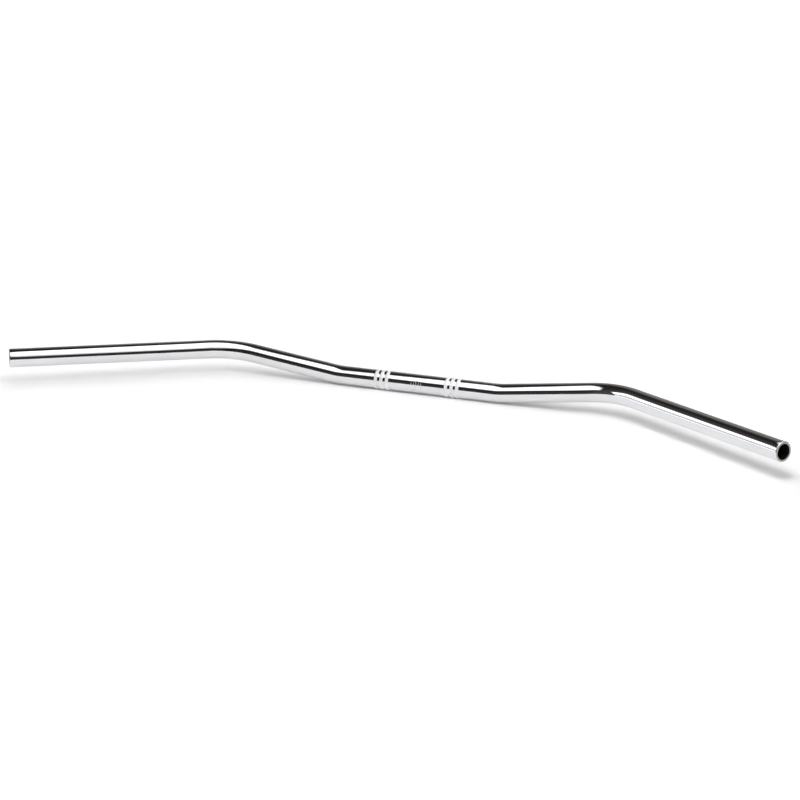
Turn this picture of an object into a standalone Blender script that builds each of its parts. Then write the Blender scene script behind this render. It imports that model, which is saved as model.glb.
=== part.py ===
"""Motorcycle handlebar: one bent, chrome-plated steel tube with knurled clamping bands.

Units are metres. The origin is on the tube's axis, midway between the grips. +X runs to
the rider's right, +Y forward and +Z up, with the bar as it sits in its clamps.
"""

import math

import bmesh
import bpy
from mathutils import Vector

NAME = "handlebar"

# The tube
TUBE_RADIUS = 0.0111  # 22.2 mm outside diameter, the common 7/8 in bar
WALL = 0.0025
BORE_RADIUS = TUBE_RADIUS - WALL
TUBE_SIDES = 40
BORE_SIDES = 24

# Corners of the centreline on the rider's right, before they are bent to a radius
MIDDLE = Vector((0.0, 0.0, 0.0))
INNER_CORNER = Vector((0.100, 0.0, 0.0))  # the clamping length ends and the bar rises
OUTER_CORNER = Vector((0.238, 0.0, 0.0175))  # the bar turns back towards the grip
GRIP_END = Vector((0.460, -0.146, 0.022))
BEND_RADIUS = 0.100
BEND_STEP = math.radians(4.5)  # most turn between two sections of a bend

# The square-cut ends
EDGE_ROUND = 0.0012  # radius of the rounded outer edge
EDGE_ROUND_STEPS = 3
BORE_CHAMFER = 0.0004
BORE_OVERRUN = 0.003  # how far the bore's cutter passes each end

# The knurled bands, in one group under each clamp
GROUP_OFFSET = 0.0436  # from the middle of the bar to the middle of a group
BANDS_PER_GROUP = 3
BAND_PITCH = 0.0069
BAND_WIDTH = 0.0038  # across its crest
BAND_HEIGHT = 0.0002  # the rolled teeth stand this far proud of the tube
BAND_FLANK = 0.0003

CHROME_COLOUR = (0.82, 0.83, 0.85, 1.0)
CHROME_ROUGHNESS = 0.06


def clear_scene():
    for obj in list(bpy.data.objects):
        bpy.data.objects.remove(obj, do_unlink=True)


def new_collection(name):
    collection = bpy.data.collections.new(name)
    bpy.context.scene.collection.children.link(collection)
    return collection


def chrome_material():
    material = bpy.data.materials.new("chrome")
    material.use_nodes = True
    shader = material.node_tree.nodes["Principled BSDF"]
    shader.inputs["Base Color"].default_value = CHROME_COLOUR
    shader.inputs["Metallic"].default_value = 1.0
    shader.inputs["Roughness"].default_value = CHROME_ROUGHNESS
    return material


def bend(before, corner, after):
    """Centreline points of the arc that rounds a corner, from its start to its end."""
    into = (corner - before).normalized()
    out_of = (after - corner).normalized()
    turn = into.angle(out_of)
    start = corner - into * BEND_RADIUS * math.tan(turn / 2)
    inwards = (out_of - into * into.dot(out_of)).normalized()
    steps = math.ceil(turn / BEND_STEP)
    points = []
    for i in range(steps + 1):
        angle = turn * i / steps
        offset = into * math.sin(angle) + inwards * (1 - math.cos(angle))
        points.append(start + offset * BEND_RADIUS)
    return points


def bend_points():
    """Centreline points of the two bends on the right, outwards."""
    inner = bend(MIDDLE, INNER_CORNER, OUTER_CORNER)
    outer = bend(INNER_CORNER, OUTER_CORNER, GRIP_END)
    return inner + outer


def grip_direction():
    return (GRIP_END - OUTER_CORNER).normalized()


def band_sections():
    """(centre, radius) of the sections that raise the bands of the right-hand group."""
    sections = []
    for i in range(BANDS_PER_GROUP):
        middle = GROUP_OFFSET + (i - (BANDS_PER_GROUP - 1) / 2) * BAND_PITCH
        crest = BAND_WIDTH / 2
        foot = crest + BAND_FLANK
        sections.append((Vector((middle - foot, 0, 0)), TUBE_RADIUS))
        sections.append((Vector((middle - crest, 0, 0)), TUBE_RADIUS + BAND_HEIGHT))
        sections.append((Vector((middle + crest, 0, 0)), TUBE_RADIUS + BAND_HEIGHT))
        sections.append((Vector((middle + foot, 0, 0)), TUBE_RADIUS))
    return sections


def rounded_end_sections():
    """(centre, radius) of the sections that round the outer edge at the right-hand end."""
    sections = []
    for i in range(EDGE_ROUND_STEPS + 1):
        angle = math.pi / 2 * i / EDGE_ROUND_STEPS
        back = EDGE_ROUND * (1 - math.sin(angle))
        inset = EDGE_ROUND * (1 - math.cos(angle))
        sections.append((GRIP_END - grip_direction() * back, TUBE_RADIUS - inset))
    return sections


def bore_mouth_sections():
    """(centre, radius) of the sections that chamfer the bore's mouth on the right."""
    direction = grip_direction()
    overrun_radius = BORE_RADIUS + BORE_CHAMFER + BORE_OVERRUN
    return [
        (GRIP_END - direction * BORE_CHAMFER, BORE_RADIUS),
        (GRIP_END + direction * BORE_OVERRUN, overrun_radius),
    ]


def both_halves(right_half):
    """The sections of the whole bar, left end first."""
    left_half = []
    for centre, radius in reversed(right_half):
        left_half.append((Vector((-centre.x, centre.y, centre.z)), radius))
    return left_half + right_half


def round_tube(name, sections, sides, collection):
    """A closed mesh object with a round section of its own radius at each centre."""
    curve = bpy.data.curves.new(name, "CURVE")
    curve.dimensions = "3D"
    curve.twist_mode = "Z_UP"
    curve.bevel_depth = TUBE_RADIUS
    curve.bevel_resolution = (sides - 4) // 2
    curve.use_fill_caps = True
    spline = curve.splines.new("POLY")
    spline.points.add(len(sections) - 1)
    for point, (centre, radius) in zip(spline.points, sections):
        point.co = (*centre, 1.0)
        point.radius = radius / TUBE_RADIUS
    guide = bpy.data.objects.new(name + "_curve", curve)
    collection.objects.link(guide)
    graph = bpy.context.evaluated_depsgraph_get()
    mesh = bpy.data.meshes.new_from_object(guide.evaluated_get(graph))
    mesh.name = name
    weld_caps(mesh)
    obj = bpy.data.objects.new(name, mesh)
    obj.matrix_world = guide.matrix_world
    collection.objects.link(obj)
    bpy.data.objects.remove(guide)
    bpy.data.curves.remove(curve)
    return obj


def weld_caps(mesh):
    shape = bmesh.new()
    shape.from_mesh(mesh)
    bmesh.ops.remove_doubles(shape, verts=shape.verts, dist=1e-6)
    bmesh.ops.recalc_face_normals(shape, faces=shape.faces)
    shape.to_mesh(mesh)
    shape.free()


def make_bore_cutter(cutters):
    right_half = [(centre, BORE_RADIUS) for centre in bend_points()]
    right_half += bore_mouth_sections()
    bore = round_tube("bore_cutter", both_halves(right_half), BORE_SIDES, cutters)
    bore.hide_render = True
    bore.display_type = "WIRE"
    return bore


def make_handlebar_tube(parts, bore):
    right_half = band_sections()
    right_half += [(centre, TUBE_RADIUS) for centre in bend_points()]
    right_half += rounded_end_sections()
    tube = round_tube("handlebar_tube", both_halves(right_half), TUBE_SIDES, parts)
    hollow = tube.modifiers.new("bore", "BOOLEAN")
    hollow.operation = "DIFFERENCE"
    hollow.solver = "EXACT"
    hollow.object = bore
    tube.data.shade_smooth()
    tube.data.set_sharp_from_angle(angle=math.radians(25))
    tube.data.materials.append(chrome_material())
    return tube


def main():
    clear_scene()
    parts = new_collection(NAME)
    cutters = new_collection(NAME + "_cutters")
    bore = make_bore_cutter(cutters)
    make_handlebar_tube(parts, bore)


main()
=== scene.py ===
"""The looks of the motorcycle handlebar: one bent steel tube, polished and chrome plated.

Units are metres, in the frame of the CAD model: the origin is on the tube's axis midway
between the grips, +X to the rider's right, +Y forward and +Z up.
"""

import math

import bpy
import numpy as np
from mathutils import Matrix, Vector


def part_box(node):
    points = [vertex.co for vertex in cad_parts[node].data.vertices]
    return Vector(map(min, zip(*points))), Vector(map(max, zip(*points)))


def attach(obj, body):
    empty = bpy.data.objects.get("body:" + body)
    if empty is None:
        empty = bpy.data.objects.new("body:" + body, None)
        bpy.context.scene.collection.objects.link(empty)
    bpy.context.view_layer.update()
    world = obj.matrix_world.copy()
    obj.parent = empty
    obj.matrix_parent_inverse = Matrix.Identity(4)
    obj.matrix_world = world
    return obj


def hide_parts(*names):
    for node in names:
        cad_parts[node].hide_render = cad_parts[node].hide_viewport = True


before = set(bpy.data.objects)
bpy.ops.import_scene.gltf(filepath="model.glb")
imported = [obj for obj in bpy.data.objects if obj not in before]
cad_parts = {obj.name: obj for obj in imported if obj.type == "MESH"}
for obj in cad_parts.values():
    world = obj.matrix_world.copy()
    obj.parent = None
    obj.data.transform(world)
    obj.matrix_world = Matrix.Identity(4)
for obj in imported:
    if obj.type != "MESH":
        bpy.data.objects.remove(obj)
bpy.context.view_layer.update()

NODE = "handlebar_tube"

# The tube's driving dimensions, as in the CAD model
TUBE_RADIUS = 0.0111
BORE_RADIUS = 0.0086
MIDDLE = Vector((0.0, 0.0, 0.0))
INNER_CORNER = Vector((0.100, 0.0, 0.0))
OUTER_CORNER = Vector((0.238, 0.0, 0.0175))
GRIP_END = Vector((0.460, -0.146, 0.022))
BEND_RADIUS = 0.100
BENDS = [(MIDDLE, INNER_CORNER, OUTER_CORNER), (INNER_CORNER, OUTER_CORNER, GRIP_END)]
EDGE_ROUND = 0.0012
BORE_CHAMFER = 0.0004

# How finely the surface is made
SIDES = 144
BEND_STEP = math.radians(1.5)
STRAIGHT_STEP = 0.010
EDGE_STEPS = 8
BORE_STRIDE = 2  # the bore takes every second smooth section of the skin
CLEARANCE = STRAIGHT_STEP / 4  # plain sections keep this far from the detailed ones
SHARP_ANGLE = math.radians(30.0)

# A bent tube flattens a little towards the inside of its bends, the more the sharper they are
OVALITY = 0.010  # share of the radius, in a bend of FULL_OVAL_TURN
FULL_OVAL_TURN = math.radians(34.0)
OVAL_RUN_OUT = 0.020  # how far it reaches past each end of a bend

# The knurled bands: straight teeth rolled round the tube
GROUP_OFFSET = 0.0436
BANDS_PER_GROUP = 3
BAND_PITCH = 0.0069
BAND_WIDTH = 0.0038
BAND_FLANK = 0.0003
BAND_MARGIN = 0.0002  # keeps the shading of the flanks off the smooth tube beside them
TOOTH_CREST = 0.0002
TOOTH_ROOT = -0.00006

# The centring scale: short lines etched on the rider's side
TICK_OFFSETS = (-0.006, -0.003, 0.0, 0.003, 0.006)
TICK_WIDTH = 0.0006
TICK_DEPTH = 0.00008
TICK_WALL = 0.00012
TICK_HALF_ANGLE = math.radians(24.0)
LONG_TICK_HALF_ANGLE = math.radians(33.0)
TICK_FACING = math.radians(90.0)  # the angle round the tube that faces -Y

# The place of each material in the tube's list
CHROME, KNURL, ETCHED, BORE, CUT = range(5)

# The camera, placed round a point beside the middle of the bar
CAMERA_AZIMUTH = math.radians(21.29)
CAMERA_ELEVATION = math.radians(17.97)
CAMERA_DISTANCE = 2.6507
CAMERA_LENS = 102.29
SENSOR_WIDTH = 36.0
AIM_LEFT = 0.0221
AIM_DOWN = 0.0187

# The table, which ends near the bar on the left and in front, and far off on the other sides
FLOOR_LEFT = -0.75
FLOOR_FRONT = -0.45
FLOOR_REACH = 60.0
FLOOR_COLOUR = (0.90, 0.90, 0.90)
FLOOR_GLOW = 0.797
# What is taken off that glow where the lamps light the table, so that it is evenly bright:
# the amount, the middle of the pool of light and the distance over which it falls off
LAMP_POOLS = [(0.895, (0.178, -0.721), 1.222), (0.335, (-0.402, 0.277), 1.306)]

# The white that the camera sees past the table
BACKDROP = (1.15, 1.15, 1.15, 1.0)

# The softbox as the chrome mirrors it. Each pair is where its light starts and where it is
# full, and the left edge, the front edge and the fade run at a slant across the level card.
SOFTBOX_HEIGHT = 1.11
SOFTBOX_HALF_LENGTHS = (2.2, 2.8)
SOFTBOX_STRENGTH = 1.95
SOFTBOX_LEFT = (-0.48, -0.34)
SOFTBOX_LEFT_SLANT = -0.43
SOFTBOX_RIGHT = (1.08, 0.88)
SOFTBOX_FRONT = (-1.70, -1.28)
SOFTBOX_FRONT_SLANT = 0.59
SOFTBOX_FADE = (-3.3, 0.0)
SOFTBOX_FADE_SLANT = -0.6

# The lamps that light the table, at the same height: place, half lengths, turn about Z and
# strength
LAMPS = {
    "key_lamp": ((0.290, -0.760), (0.450, 1.150), math.radians(25.2), 15.2),
    "fill_lamp": ((-0.380, 0.130), (0.490, 2.100), 0.0, 4.1),
}

# The upright panels out at the sides, as seen from the bar: how far along Y, or how far up,
# for each metre out. A glow is round each, and the light goes on below the horizon.
LEFT_PANEL = (-0.61, 0.2)
RIGHT_PANEL = (-0.1, 0.6)
RIGHT_SHARE = 0.25  # strength of everything on the right against the left
PANEL_SIDE_SOFTNESS = 0.03
PANEL_RISE = (0.24, 0.52)
PANEL_SOFTNESS = 0.10
PANEL_STRENGTH = 2.5
FOOT_RISE = (0.0, 0.18)
FOOT_SOFTNESS = 0.02
FOOT_STRENGTH = 0.66
HORIZON = (0.01, -0.01)
GLOW_RISE = (1.3, 0.4)
GLOW_STRENGTH = 0.05

# Parts of a direction one unit long: where the glow starts out to the side and is full, the
# least that slopes are measured against, and where the dim far wall starts along Y and is full
GLOW_OUT = (0.1, 0.6)
LEAST_OUT = 0.02
FAR_WALL = (0.48, 0.95)
FAR_WALL_STRENGTH = 0.24

# Matt surfaces get the panels' and the wall's light times TABLE_SHARE, plus TABLE_AMBIENT
TABLE_SHARE = 1.75
TABLE_AMBIENT = 0.14
DARK_COLOUR = (0.023, 0.020, 0.018)


# ---------------------------------------------------------------- the tube's mesh


def bend_knots(before, corner, after):
    """(point, tangent) along the arc that rounds a corner of the centreline."""
    into = (corner - before).normalized()
    out_of = (after - corner).normalized()
    turn = into.angle(out_of)
    start = corner - into * BEND_RADIUS * math.tan(turn / 2)
    inwards = (out_of - into * into.dot(out_of)).normalized()
    steps = math.ceil(turn / BEND_STEP)
    knots = []
    for i in range(steps + 1):
        angle = turn * i / steps
        offset = into * math.sin(angle) + inwards * (1 - math.cos(angle))
        tangent = into * math.cos(angle) + inwards * math.sin(angle)
        knots.append((start + offset * BEND_RADIUS, tangent))
    return knots


def straight_knots(start, end):
    """(point, tangent) inside a straight run, without its two ends."""
    run = end - start
    steps = math.ceil(run.length / STRAIGHT_STEP)
    return [(start + run * i / steps, run.normalized()) for i in range(1, steps)]


def half_centreline():
    """(arc length, point, tangent) of the right half, from the middle to the end."""
    inner, outer = (bend_knots(*bend) for bend in BENDS)
    knots = [(MIDDLE, Vector((1.0, 0.0, 0.0)))]
    knots += straight_knots(MIDDLE, inner[0][0])
    knots += inner
    knots += straight_knots(inner[-1][0], outer[0][0])
    knots += outer
    knots += straight_knots(outer[-1][0], GRIP_END)
    knots.append((GRIP_END, outer[-1][1]))
    points = np.array([point for point, _ in knots])
    tangents = np.array([tangent for _, tangent in knots])
    chords = np.linalg.norm(np.diff(points, axis=0), axis=1)
    lengths = np.concatenate([[0.0], np.cumsum(chords)])
    return lengths, points, tangents


LENGTHS, POINTS, TANGENTS = half_centreline()
HALF_LENGTH = LENGTHS[-1]


def centreline_at(along):
    """(point, tangent) at a signed arc length from the middle."""
    distance = abs(along)
    point = np.array([np.interp(distance, LENGTHS, POINTS[:, i]) for i in range(3)])
    tangent = np.array([np.interp(distance, LENGTHS, TANGENTS[:, i]) for i in range(3)])
    if along < 0:
        point[0] = -point[0]
        tangent[1:] = -tangent[1:]
    return point, tangent / np.linalg.norm(tangent)


def section_axes(tangent):
    """The directions across the tube that the angle is measured from: up, and sideways."""
    sideways = np.cross(tangent, (0.0, 0.0, 1.0))
    sideways /= np.linalg.norm(sideways)
    return np.cross(sideways, tangent), sideways


ANGLES = np.arange(SIDES) * 2 * math.pi / SIDES


def tooth_pattern():
    """Radial offsets of one toothed section: crests and roots in turn."""
    return np.where(np.arange(SIDES) % 2 == 0, TOOTH_CREST, TOOTH_ROOT)


def tick_pattern(half_angle):
    """Radial offsets of a section through an etched line."""
    turned = (ANGLES - TICK_FACING + math.pi) % (2 * math.pi) - math.pi
    return np.where(np.abs(turned) <= half_angle, -TICK_DEPTH, 0.0)


def band_sections():
    """(along, radial offsets, material of the strip after it) of every knurled band."""
    smooth = np.zeros(SIDES)
    sections = []
    for side in (-1, 1):
        for i in range(BANDS_PER_GROUP):
            middle = side * GROUP_OFFSET + (i - (BANDS_PER_GROUP - 1) / 2) * BAND_PITCH
            crest = BAND_WIDTH / 2
            foot = crest + BAND_FLANK
            beside = foot + BAND_MARGIN
            sections.append((middle - beside, smooth, CHROME))
            sections.append((middle - foot, smooth, CHROME))
            sections.append((middle - crest, tooth_pattern(), KNURL))
            sections.append((middle + crest, tooth_pattern(), CHROME))
            sections.append((middle + foot, smooth, CHROME))
            sections.append((middle + beside, smooth, CHROME))
    return sections


def tick_sections():
    """(along, radial offsets, material of the strip after it) of the centring scale."""
    smooth = np.zeros(SIDES)
    sections = []
    for middle in TICK_OFFSETS:
        half_angle = LONG_TICK_HALF_ANGLE if middle == 0.0 else TICK_HALF_ANGLE
        groove = tick_pattern(half_angle)
        floor = TICK_WIDTH / 2
        lip = floor + TICK_WALL
        sections.append((middle - lip, smooth, CHROME))
        sections.append((middle - floor, groove, ETCHED))
        sections.append((middle + floor, groove, CHROME))
        sections.append((middle + lip, smooth, CHROME))
    return sections


def plain_sections(detailed):
    """Smooth sections at the centreline's knots, clear of the detailed ones."""
    knots = np.concatenate([-LENGTHS[::-1], LENGTHS[1:]])
    places = np.array([section[0] for section in detailed])
    last = HALF_LENGTH - EDGE_ROUND
    smooth = np.zeros(SIDES)
    sections = []
    for along in knots:
        nearest = np.abs(places - along).min()
        if abs(along) < last - CLEARANCE and nearest > CLEARANCE:
            sections.append((along, smooth, CHROME))
    return sections


def bend_start(before, corner, after):
    """Arc length at which a bend begins."""
    first = bend_knots(before, corner, after)[0][0]
    nearest = np.linalg.norm(POINTS - np.array(first), axis=1).argmin()
    return LENGTHS[nearest]


def oval_share(along, start, turn):
    """How much one bend flattens the tube here: 1 inside a bend of FULL_OVAL_TURN."""
    outside = max(start - abs(along), abs(along) - start - BEND_RADIUS * turn, 0.0)
    near = max(0.0, 1.0 - outside / OVAL_RUN_OUT)
    return near * near * (3 - 2 * near) * turn / FULL_OVAL_TURN


def flattening(along):
    """Radial offsets that make the section slightly oval in the bends and close to them."""
    _, tangent = centreline_at(along)
    up, sideways = section_axes(tangent)
    offsets = np.zeros(SIDES)
    for before, corner, after in BENDS:
        into = (corner - before).normalized()
        out_of = (after - corner).normalized()
        share = oval_share(along, bend_start(before, corner, after), into.angle(out_of))
        inwards = np.array(out_of - into)
        if along < 0:
            inwards[0] = -inwards[0]
        facing = math.atan2(inwards @ sideways, inwards @ up)
        offsets -= TUBE_RADIUS * OVALITY * share * np.cos(2 * (ANGLES - facing))
    return offsets


def skin_rings():
    """(along, radii, material of the strip after it) of the outside, from left to right."""
    detailed = band_sections() + tick_sections()
    sections = sorted(detailed + plain_sections(detailed), key=lambda section: section[0])
    rings = []
    for along, offsets, material in sections:
        rings.append((along, TUBE_RADIUS + offsets + flattening(along), material))
    return rings


def edge_rings(side):
    """The rounded outer edge and the chamfered mouth at one end, from outside to inside."""
    rings = []
    for i in range(EDGE_STEPS + 1):
        angle = math.pi / 2 * i / EDGE_STEPS
        along = HALF_LENGTH - EDGE_ROUND * (1 - math.sin(angle))
        radius = TUBE_RADIUS - EDGE_ROUND * (1 - math.cos(angle))
        material = CHROME if i < EDGE_STEPS // 2 else CUT
        rings.append((side * along, np.full(SIDES, radius), material))
    rings.append((side * HALF_LENGTH, np.full(SIDES, BORE_RADIUS + BORE_CHAMFER), CUT))
    rings.append((side * (HALF_LENGTH - BORE_CHAMFER), np.full(SIDES, BORE_RADIUS), BORE))
    return rings


def bore_rings(skin):
    """The bore, from right to left."""
    plain = [ring for ring in skin if ring[2] == CHROME][::-BORE_STRIDE]
    return [(along, np.full(SIDES, BORE_RADIUS), BORE) for along, _, _ in plain]


def turned_round(rings, last_material):
    """The same rings in reverse order, each with the material of the strip after it."""
    materials = [material for _, _, material in rings[-2::-1]] + [last_material]
    return [
        (along, radii, material)
        for (along, radii, _), material in zip(rings[::-1], materials)
    ]


def surface_points(rings):
    """The mesh's points, ring by ring."""
    points = np.empty((len(rings), SIDES, 3))
    for i, (along, radii, _) in enumerate(rings):
        centre, tangent = centreline_at(along)
        up, sideways = section_axes(tangent)
        around = np.outer(np.cos(ANGLES), up) + np.outer(np.sin(ANGLES), sideways)
        points[i] = centre + around * radii[:, None]
    return points.reshape(-1, 3)


def surface_faces(count):
    """Faces from each ring to the next, and from the last ring back to the first."""
    ring_of = np.arange(count)[:, None]
    side_of = np.arange(SIDES)[None, :]
    next_ring = (ring_of + 1) % count
    next_side = (side_of + 1) % SIDES
    corners = [
        ring_of * SIDES + side_of,
        next_ring * SIDES + side_of,
        next_ring * SIDES + next_side,
        ring_of * SIDES + next_side,
    ]
    faces = np.stack([np.broadcast_to(c, (count, SIDES)) for c in corners], axis=2)
    return faces.reshape(-1, 4)


def tube_mesh():
    """The whole tube as one closed surface: the outside, both ends and the bore."""
    skin = skin_rings()
    left_end = turned_round(edge_rings(-1), CHROME)
    rings = skin + edge_rings(1) + bore_rings(skin) + left_end
    mesh = bpy.data.meshes.new("chromed_tube")
    points = surface_points(rings)
    faces = surface_faces(len(rings))
    mesh.from_pydata(points.tolist(), [], faces.tolist())
    materials = np.repeat([material for _, _, material in rings], SIDES)
    materials = np.where(materials == ETCHED, etched_or_chrome(rings), materials)
    mesh.polygons.foreach_set("material_index", materials.astype(np.int32))
    mesh.shade_smooth()
    mesh.set_sharp_from_angle(angle=SHARP_ANGLE)
    add_surface_coordinates(mesh, rings)
    return mesh


def etched_or_chrome(rings):
    """ETCHED for each face on the floor of an etched line, and CHROME for the others."""
    sunk = np.array([radii < TUBE_RADIUS - TICK_DEPTH / 2 for _, radii, _ in rings])
    both = sunk & np.roll(sunk, -1, axis=1)
    return np.where(both.reshape(-1), ETCHED, CHROME)


def add_surface_coordinates(mesh, rings):
    """Stores each point's place along the tube and round it, for the materials."""
    along = mesh.attributes.new("along", "FLOAT", "POINT")
    values = np.repeat([ring[0] for ring in rings], SIDES)
    along.data.foreach_set("value", values.astype(np.float32))
    around = mesh.attributes.new("around", "FLOAT_VECTOR", "POINT")
    circle = np.stack([np.cos(ANGLES), np.sin(ANGLES), np.zeros(SIDES)], axis=1)
    vectors = np.tile(circle, (len(rings), 1)).astype(np.float32)
    around.data.foreach_set("vector", vectors.ravel())


# ---------------------------------------------------------------- materials


class Nodes:
    """Adds nodes to one tree with little text."""

    def __init__(self, tree):
        self.tree = tree

    def add(self, kind, inputs=(), **settings):
        node = self.tree.nodes.new(kind)
        for name, value in settings.items():
            setattr(node, name, value)
        for name, value in dict(inputs).items():
            self.set(node, name, value)
        return node

    def set(self, node, name, value):
        """Sets an input, or links it where the value is another node's output."""
        if isinstance(value, bpy.types.NodeSocket):
            self.tree.links.new(value, node.inputs[name])
        else:
            node.inputs[name].default_value = value

    def math(self, operation, *values):
        return self.add("ShaderNodeMath", enumerate(values), operation=operation).outputs[0]

    def smooth_step(self, value, start, end):
        """0 at start and 1 at end, and smooth between them."""
        inputs = {"Value": value, "From Min": start, "From Max": end}
        node = self.add("ShaderNodeMapRange", inputs, interpolation_type="SMOOTHSTEP")
        return node.outputs["Result"]

    def between(self, value, low, high, softness):
        """1 from low to high, and 0 outside, with soft edges."""
        above = self.smooth_step(value, low - softness, low + softness)
        below = self.smooth_step(value, high + softness, high - softness)
        return self.math("MULTIPLY", above, below)

    def mix(self, first, second, share):
        """first where share is 0, and second where it is 1."""
        return self.math("MULTIPLY_ADD", self.math("SUBTRACT", second, first), share, first)

    def remap(self, value, low, high):
        """low where the value is 0, and high where it is 1."""
        inputs = {"Value": value, "To Min": low, "To Max": high}
        return self.add("ShaderNodeMapRange", inputs).outputs["Result"]


def principled(name, colour, metallic, roughness):
    """(material, node helper, shader) of a new Principled material."""
    material = bpy.data.materials.new(name)
    material.use_nodes = True
    shader = material.node_tree.nodes["Principled BSDF"]
    shader.inputs["Base Color"].default_value = (*colour, 1.0)
    shader.inputs["Metallic"].default_value = metallic
    shader.inputs["Roughness"].default_value = roughness
    return material, Nodes(material.node_tree), shader


def surface_vector(nodes, per_metre, per_radius):
    """A texture vector that follows the tube: along it in X, and round it in Y and Z."""
    along = nodes.add("ShaderNodeAttribute", attribute_name="along").outputs["Fac"]
    around = nodes.add("ShaderNodeAttribute", attribute_name="around").outputs["Vector"]
    split = nodes.add("ShaderNodeSeparateXYZ", {"Vector": around})
    joined = nodes.add(
        "ShaderNodeCombineXYZ",
        {
            "X": nodes.math("MULTIPLY", along, per_metre),
            "Y": nodes.math("MULTIPLY", split.outputs["X"], per_radius),
            "Z": nodes.math("MULTIPLY", split.outputs["Y"], per_radius),
        },
    )
    return joined.outputs["Vector"]


def noise(nodes, vector, detail, roughness, scale=1.0):
    """A noise texture's value, from 0 to 1."""
    inputs = {"Vector": vector, "Scale": scale, "Detail": detail, "Roughness": roughness}
    return nodes.add("ShaderNodeTexNoise", inputs).outputs["Fac"]


def add_bump(nodes, shader, height, strength, distance):
    """Bends the shader's normal as if a height of 1 stood out by distance, in metres."""
    inputs = {"Height": height, "Strength": strength, "Distance": distance}
    bump = nodes.add("ShaderNodeBump", inputs)
    nodes.set(shader, "Normal", bump.outputs["Normal"])


def chrome_material():
    """Bright plate over a polished tube: faint polishing lines round it and soft haze."""
    colour = (0.742, 0.745, 0.765)
    material, nodes, shader = principled("polished_chrome", colour, metallic=1.0, roughness=0.05)
    ringwise = surface_vector(nodes, per_metre=900.0, per_radius=1.2)
    lines = noise(nodes, ringwise, detail=4.0, roughness=0.6)
    broad = surface_vector(nodes, per_metre=22.0, per_radius=1.6)
    haze = noise(nodes, broad, detail=3.0, roughness=0.55)
    both = nodes.math("ADD", nodes.math("MULTIPLY", lines, 0.4), nodes.math("MULTIPLY", haze, 0.6))
    nodes.set(shader, "Roughness", nodes.remap(both, 0.025, 0.075))
    add_bump(nodes, shader, lines, strength=0.04, distance=0.00002)
    return material


def knurl_material():
    """The plated teeth: satin and partly matt, with a grain from the rolling tool."""
    colour = (0.88, 0.88, 0.90)
    material, nodes, shader = principled("knurled_chrome", colour, metallic=0.60, roughness=0.4)
    fine = surface_vector(nodes, per_metre=2600.0, per_radius=60.0)
    grain = noise(nodes, fine, detail=3.0, roughness=0.6)
    nodes.set(shader, "Roughness", nodes.remap(grain, 0.30, 0.50))
    add_bump(nodes, shader, grain, strength=0.25, distance=0.00005)
    return material


def etched_material():
    """The satin floor of the etched lines."""
    colour = (0.74, 0.74, 0.75)
    material, nodes, shader = principled("etched_chrome", colour, metallic=0.85, roughness=0.45)
    fine = surface_vector(nodes, per_metre=6000.0, per_radius=60.0)
    grain = noise(nodes, fine, detail=2.0, roughness=0.6)
    nodes.set(shader, "Roughness", nodes.remap(grain, 0.34, 0.52))
    add_bump(nodes, shader, grain, strength=0.3, distance=0.00003)
    return material


def cut_material():
    """The faced end of the tube and its chamfer: thin plate over the cutter's marks."""
    colour = (0.45, 0.445, 0.435)
    material, nodes, shader = principled("faced_end", colour, metallic=1.0, roughness=0.35)
    place = nodes.add("ShaderNodeTexCoord").outputs["Object"]
    grain = noise(nodes, place, detail=3.0, roughness=0.6, scale=2200.0)
    nodes.set(shader, "Roughness", nodes.remap(grain, 0.28, 0.44))
    add_bump(nodes, shader, grain, strength=0.2, distance=0.00003)
    return material


def bore_material():
    """Unplated drawn steel, dark with oxide, with drawing lines along the bore."""
    colour = (0.03, 0.028, 0.026)
    material, nodes, shader = principled("bare_steel_bore", colour, metallic=0.6, roughness=0.6)
    lengthways = surface_vector(nodes, per_metre=30.0, per_radius=26.0)
    drawn = noise(nodes, lengthways, detail=4.0, roughness=0.6)
    broad = surface_vector(nodes, per_metre=240.0, per_radius=3.0)
    blotches = noise(nodes, broad, detail=3.0, roughness=0.5)
    ramp = nodes.add("ShaderNodeValToRGB", {"Fac": blotches})
    darker, lighter = ramp.color_ramp.elements
    darker.position = 0.35
    darker.color = (0.016, 0.015, 0.014, 1.0)
    lighter.position = 0.75
    lighter.color = (0.050, 0.043, 0.036, 1.0)
    nodes.set(shader, "Base Color", ramp.outputs["Color"])
    nodes.set(shader, "Roughness", nodes.remap(drawn, 0.45, 0.75))
    add_bump(nodes, shader, drawn, strength=0.35, distance=0.0001)
    return material


# ---------------------------------------------------------------- the object


def make_tube():
    """The tube's visual model, which takes the CAD solid's place."""
    tube = bpy.data.objects.new("chromed_tube", tube_mesh())
    bpy.context.scene.collection.objects.link(tube)
    makers = (chrome_material, knurl_material, etched_material, bore_material, cut_material)
    for make_material in makers:
        tube.data.materials.append(make_material())
    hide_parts(NODE)
    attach(tube, "root")


# ---------------------------------------------------------------- studio and camera


def level_sheet(name, front_left, back_right, height):
    """A flat rectangle, from its (x, y) corner at the front left to the one at the back right."""
    left, front = front_left
    right, back = back_right
    outline = [(left, front), (right, front), (right, back), (left, back)]
    mesh = bpy.data.meshes.new(name)
    mesh.from_pydata([(x, y, height) for x, y in outline], [], [(0, 1, 2, 3)])
    sheet = bpy.data.objects.new(name, mesh)
    bpy.context.scene.collection.objects.link(sheet)
    return sheet


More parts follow.
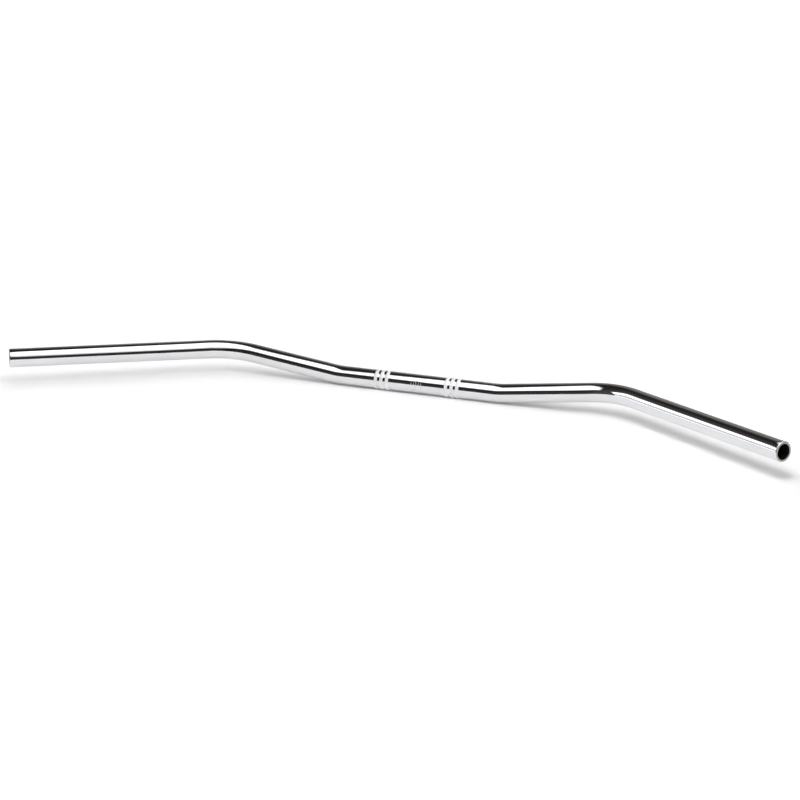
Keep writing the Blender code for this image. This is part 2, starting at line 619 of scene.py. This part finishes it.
def make_floor():
    """A pale table that the middle of the bar touches. It glows, and less where the lamps
    light it more."""
    low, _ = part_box(NODE)
    floor = level_sheet("floor", (FLOOR_LEFT, FLOOR_FRONT), (FLOOR_REACH, FLOOR_REACH), low.z)
    material, nodes, shader = principled("pale_floor", FLOOR_COLOUR, metallic=0.0, roughness=0.9)
    place = nodes.add("ShaderNodeTexCoord").outputs["Object"]
    x, y, _ = nodes.add("ShaderNodeSeparateXYZ", {"Vector": place}).outputs
    glow = FLOOR_GLOW
    for amount, (middle_x, middle_y), reach in LAMP_POOLS:
        aside = nodes.math("POWER", nodes.math("SUBTRACT", x, middle_x), 2.0)
        ahead = nodes.math("POWER", nodes.math("SUBTRACT", y, middle_y), 2.0)
        spread = nodes.math("ADD", nodes.math("ADD", aside, ahead), reach**2)
        pool = nodes.math("POWER", nodes.math("DIVIDE", reach**2, spread), 2.0)
        glow = nodes.math("SUBTRACT", glow, nodes.math("MULTIPLY", pool, amount))
    glow = nodes.math("MAXIMUM", glow, 0.0)
    shader.inputs["Specular IOR Level"].default_value = 0.0
    shader.inputs["Emission Color"].default_value = (1.0, 1.0, 1.0, 1.0)
    nodes.set(shader, "Emission Strength", glow)
    floor.data.materials.append(material)


def make_studio_light():
    """The studio far round the bar: a low panel out on each side and a dim wall behind it,
    with dark between them. The camera itself sees a plain white backdrop."""
    world = bpy.data.worlds.new("studio")
    world.use_nodes = True
    world.node_tree.nodes.clear()
    nodes = Nodes(world.node_tree)
    direction = nodes.add("ShaderNodeTexCoord").outputs["Generated"]
    split = nodes.add("ShaderNodeSeparateXYZ", {"Vector": direction})
    x, y, z = split.outputs

    path = nodes.add("ShaderNodeLightPath").outputs
    left = side_light(nodes, nodes.math("MULTIPLY", x, -1.0), y, z, LEFT_PANEL)
    right = side_light(nodes, x, y, z, RIGHT_PANEL)
    light = nodes.math("MULTIPLY_ADD", right, RIGHT_SHARE, left)
    far_wall = nodes.math("MULTIPLY", nodes.smooth_step(y, *FAR_WALL), FAR_WALL_STRENGTH)
    light = nodes.math("ADD", light, far_wall)
    on_table = nodes.math("MULTIPLY_ADD", light, TABLE_SHARE, TABLE_AMBIENT)
    light = nodes.mix(on_table, light, path["Is Glossy Ray"])
    dark = nodes.add("ShaderNodeCombineXYZ", zip("XYZ", DARK_COLOUR)).outputs["Vector"]
    lit = nodes.add("ShaderNodeVectorMath", enumerate((dark, light)), operation="ADD")
    studio = nodes.add("ShaderNodeBackground", {"Color": lit.outputs["Vector"]})
    backdrop = nodes.add("ShaderNodeBackground", {"Color": BACKDROP})
    shaders = {0: path["Is Camera Ray"], 1: studio.outputs[0], 2: backdrop.outputs[0]}
    mixed = nodes.add("ShaderNodeMixShader", shaders)
    nodes.add("ShaderNodeOutputWorld", {"Surface": mixed.outputs[0]})
    bpy.context.scene.world = world


def side_light(nodes, outwards, y, z, ends):
    """A low upright panel out along one side, between its ends in Y, over a dimmer foot. Its
    light goes on below the horizon, and a faint glow is all round it."""
    reach = nodes.math("MAXIMUM", outwards, LEAST_OUT)
    over_y = nodes.math("DIVIDE", y, reach)
    over_z = nodes.math("DIVIDE", z, reach)
    across = nodes.between(over_y, *ends, PANEL_SIDE_SOFTNESS)
    panel = nodes.between(over_z, *PANEL_RISE, PANEL_SOFTNESS)
    panel = nodes.math("MULTIPLY", panel, PANEL_STRENGTH)
    foot = nodes.between(over_z, *FOOT_RISE, FOOT_SOFTNESS)
    foot = nodes.math("MULTIPLY", foot, FOOT_STRENGTH)
    below = nodes.math("MULTIPLY", nodes.smooth_step(over_z, *HORIZON), PANEL_STRENGTH)
    light = nodes.math("ADD", nodes.math("ADD", panel, foot), below)
    light = nodes.math("MULTIPLY", light, across)
    glow = nodes.math("MULTIPLY", nodes.smooth_step(over_z, *GLOW_RISE), GLOW_STRENGTH)
    outside = nodes.smooth_step(outwards, *GLOW_OUT)
    return nodes.math("MULTIPLY_ADD", glow, outside, light)


def light_card(name, half_x, half_y):
    """(object, node helper, (x, y), emission) of a level card that gives light and blocks none.
    x and y run in metres from its middle, and the emission's strength is left to set."""
    card = level_sheet(name, (-half_x, -half_y), (half_x, half_y), 0.0)
    card.location.z = SOFTBOX_HEIGHT
    card.visible_camera = False
    card.visible_shadow = False

    material = bpy.data.materials.new(name)
    material.use_nodes = True
    material.node_tree.nodes.clear()
    nodes = Nodes(material.node_tree)
    place = nodes.add("ShaderNodeTexCoord").outputs["Object"]
    x, y, _ = nodes.add("ShaderNodeSeparateXYZ", {"Vector": place}).outputs
    emission = nodes.add("ShaderNodeEmission")
    clear = nodes.add("ShaderNodeBsdfTransparent")
    both = nodes.add("ShaderNodeAddShader", {0: emission.outputs[0], 1: clear.outputs[0]})
    nodes.add("ShaderNodeOutputMaterial", {"Surface": both.outputs[0]})
    card.data.materials.append(material)
    return card, nodes, (x, y), emission


def make_softbox():
    """The softbox over the bar, as the chrome mirrors it. It gives matt surfaces no light."""
    card, nodes, (x, y), emission = light_card("softbox", *SOFTBOX_HALF_LENGTHS)
    card.visible_diffuse = False
    left = nodes.math("MULTIPLY_ADD", y, SOFTBOX_LEFT_SLANT, x)
    front = nodes.math("MULTIPLY_ADD", x, SOFTBOX_FRONT_SLANT, y)
    fade = nodes.math("MULTIPLY_ADD", x, SOFTBOX_FADE_SLANT, y)
    light = nodes.math("MULTIPLY", nodes.smooth_step(fade, *SOFTBOX_FADE), SOFTBOX_STRENGTH)
    light = nodes.math("MULTIPLY", light, nodes.smooth_step(left, *SOFTBOX_LEFT))
    light = nodes.math("MULTIPLY", light, nodes.smooth_step(x, *SOFTBOX_RIGHT))
    light = nodes.math("MULTIPLY", light, nodes.smooth_step(front, *SOFTBOX_FRONT))
    nodes.set(emission, "Strength", light)


def make_lamp(name, place, half_lengths, turn, strength):
    """An oval lamp over the bar, brightest in its middle. It lights matt surfaces, and the
    chrome doesn't mirror it."""
    card, nodes, (x, y), emission = light_card(name, *half_lengths)
    card.location.x, card.location.y = place
    card.rotation_euler.z = turn
    card.visible_glossy = False
    across, along = half_lengths
    x = nodes.math("DIVIDE", x, across)
    y = nodes.math("DIVIDE", y, along)
    from_middle = nodes.math("SQRT", nodes.math("MULTIPLY_ADD", x, x, nodes.math("MULTIPLY", y, y)))
    peak = nodes.math("POWER", nodes.smooth_step(from_middle, 1.0, 0.0), 2.0)
    nodes.set(emission, "Strength", nodes.math("MULTIPLY", peak, strength))


def make_camera():
    """The photograph's camera, level from side to side."""
    cosine = math.cos(CAMERA_ELEVATION)
    back = Vector(
        (
            math.sin(CAMERA_AZIMUTH) * cosine,
            -math.cos(CAMERA_AZIMUTH) * cosine,
            math.sin(CAMERA_ELEVATION),
        )
    )
    right = Vector((math.cos(CAMERA_AZIMUTH), math.sin(CAMERA_AZIMUTH), 0.0))
    up = back.cross(right)
    aim = -right * AIM_LEFT - up * AIM_DOWN
    camera = bpy.data.objects.new("camera", bpy.data.cameras.new("camera"))
    camera.data.lens = CAMERA_LENS
    camera.data.sensor_width = SENSOR_WIDTH
    camera.data.clip_end = 2 * FLOOR_REACH
    camera.location = aim + back * CAMERA_DISTANCE
    camera.rotation_mode = "QUATERNION"
    camera.rotation_quaternion = (-back).to_track_quat("-Z", "Y")
    bpy.context.scene.collection.objects.link(camera)
    bpy.context.scene.camera = camera


make_camera()
make_floor()
make_softbox()
for name, lamp in LAMPS.items():
    make_lamp(name, *lamp)
make_studio_light()
make_tube()
bpy.context.scene.view_settings.view_transform = "Standard"
